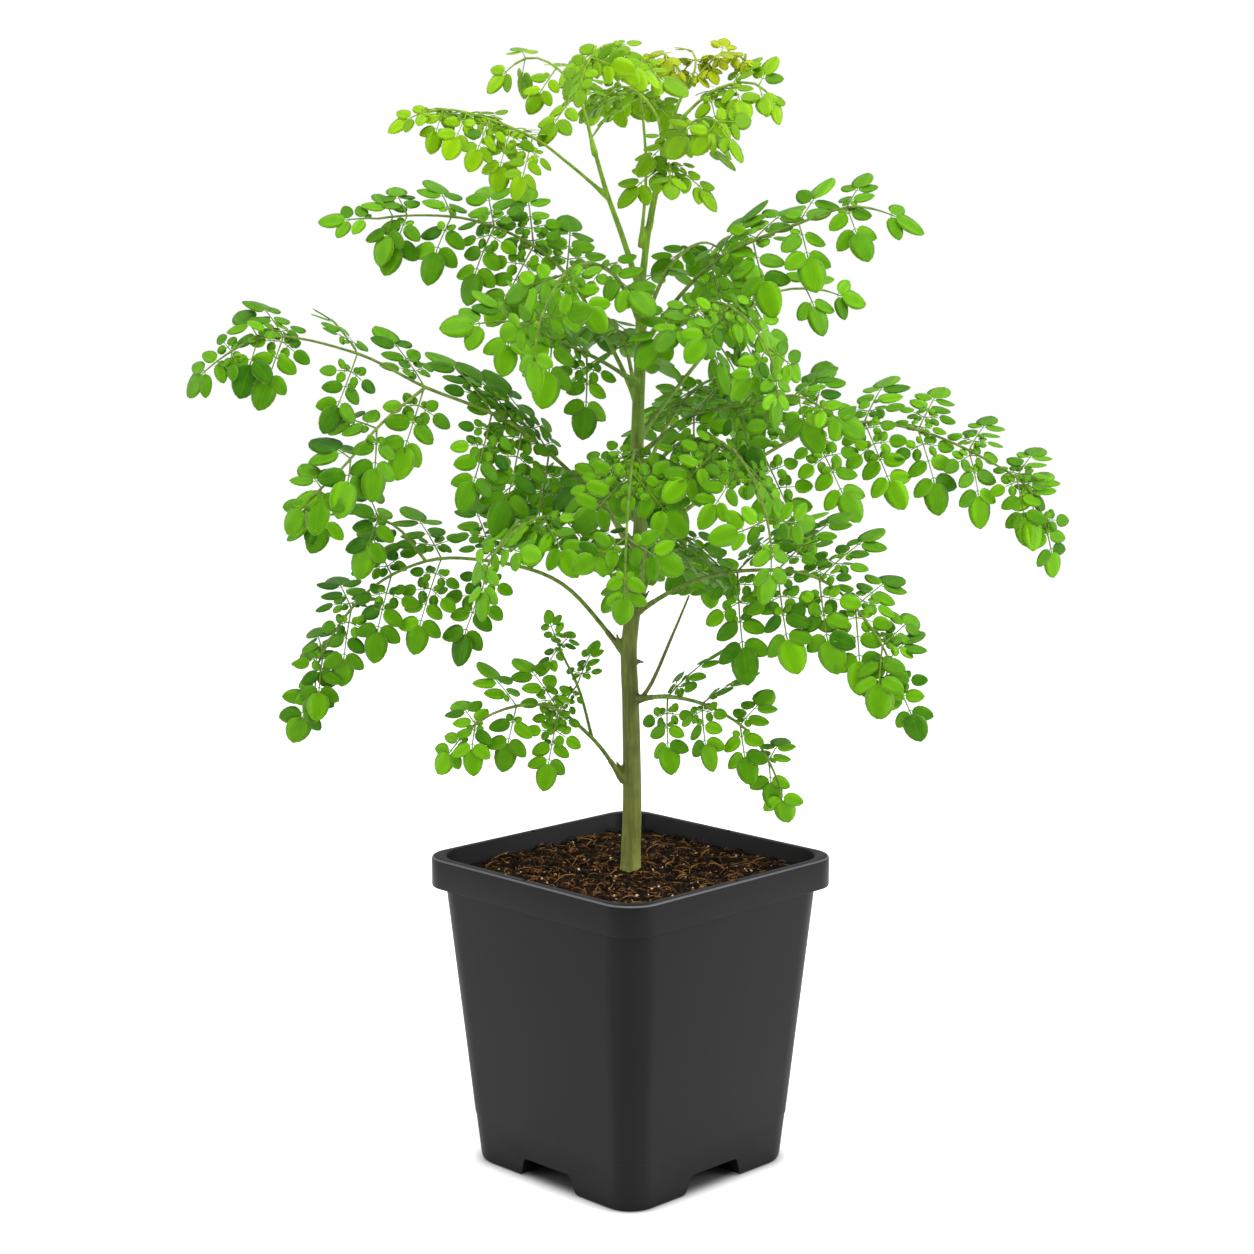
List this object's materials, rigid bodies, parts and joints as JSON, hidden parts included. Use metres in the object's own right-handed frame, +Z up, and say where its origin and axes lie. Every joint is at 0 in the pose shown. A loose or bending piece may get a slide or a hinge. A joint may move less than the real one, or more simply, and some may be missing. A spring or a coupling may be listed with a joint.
{
  "type": "potted moringa",
  "caption": "Young moringa tree in a square plastic nursery pot: one slim upright trunk that forks near the top, and feathery compound leaves with round leaflets.",
  "frame": {"origin": "middle of the pot's footprint, on the plane that its four feet stand on", "axes": "+Z up along the trunk; +X and +Y square to two neighbouring sides of the pot, and the pot's front corner in the picture lies towards +X -Y"},
  "size_m": [0.3626, 0.4675, 0.6781],
  "materials": {
    "pot_plastic": "satin charcoal black moulded polypropylene",
    "potting_soil": "loose dark brown potting mix with bark fibres and a few pale grains",
    "bark": "smooth matt olive grey-green young bark, yellower at the foot",
    "leaf_mature": "soft satin mid green leaf with a faint midrib",
    "leaf_fresh": "soft satin yellow-green leaf of the crown",
    "leaf_young": "pale olive yellow leaf that has just opened"
  },
  "bodies": {
    "root": {"pot": "pot_plastic", "soil": "potting_soil", "stem": "bark", "leaf_low_left": "leaf_mature", "leaf_low_right": "leaf_mature", "leaf_left_drooping": "leaf_mature", "leaf_right_drooping": "leaf_mature", "leaf_left_long": "leaf_mature", "leaf_right_long": "leaf_mature", "leaf_right_inner": "leaf_mature", "leaf_right_upper_back": "leaf_mature", "leaf_left_upper": "leaf_mature", "leaf_left_inner": "leaf_mature", "leaf_right_upper": "leaf_mature", "leaf_crown_left": "leaf_fresh", "leaf_crown_top_left": "leaf_fresh", "leaf_crown_right": "leaf_fresh", "leaf_crown_front_right": "leaf_fresh", "leaf_crown_front": "leaf_fresh", "leaf_crown_back": "leaf_fresh", "leaf_crown_hanging": "leaf_fresh", "leaf_front_low": "leaf_mature", "leaf_front_right": "leaf_mature", "leaf_front_upper_right": "leaf_mature", "leaf_front_upper_left": "leaf_mature", "leaf_front_left": "leaf_mature", "leaf_back_low": "leaf_mature", "leaf_back_left": "leaf_mature", "leaf_back_right": "leaf_mature", "leaf_back_upper_left": "leaf_mature", "leaf_back_upper_right": "leaf_mature", "leaf_shoot": "leaf_young"}
  },
  "joints": []
}
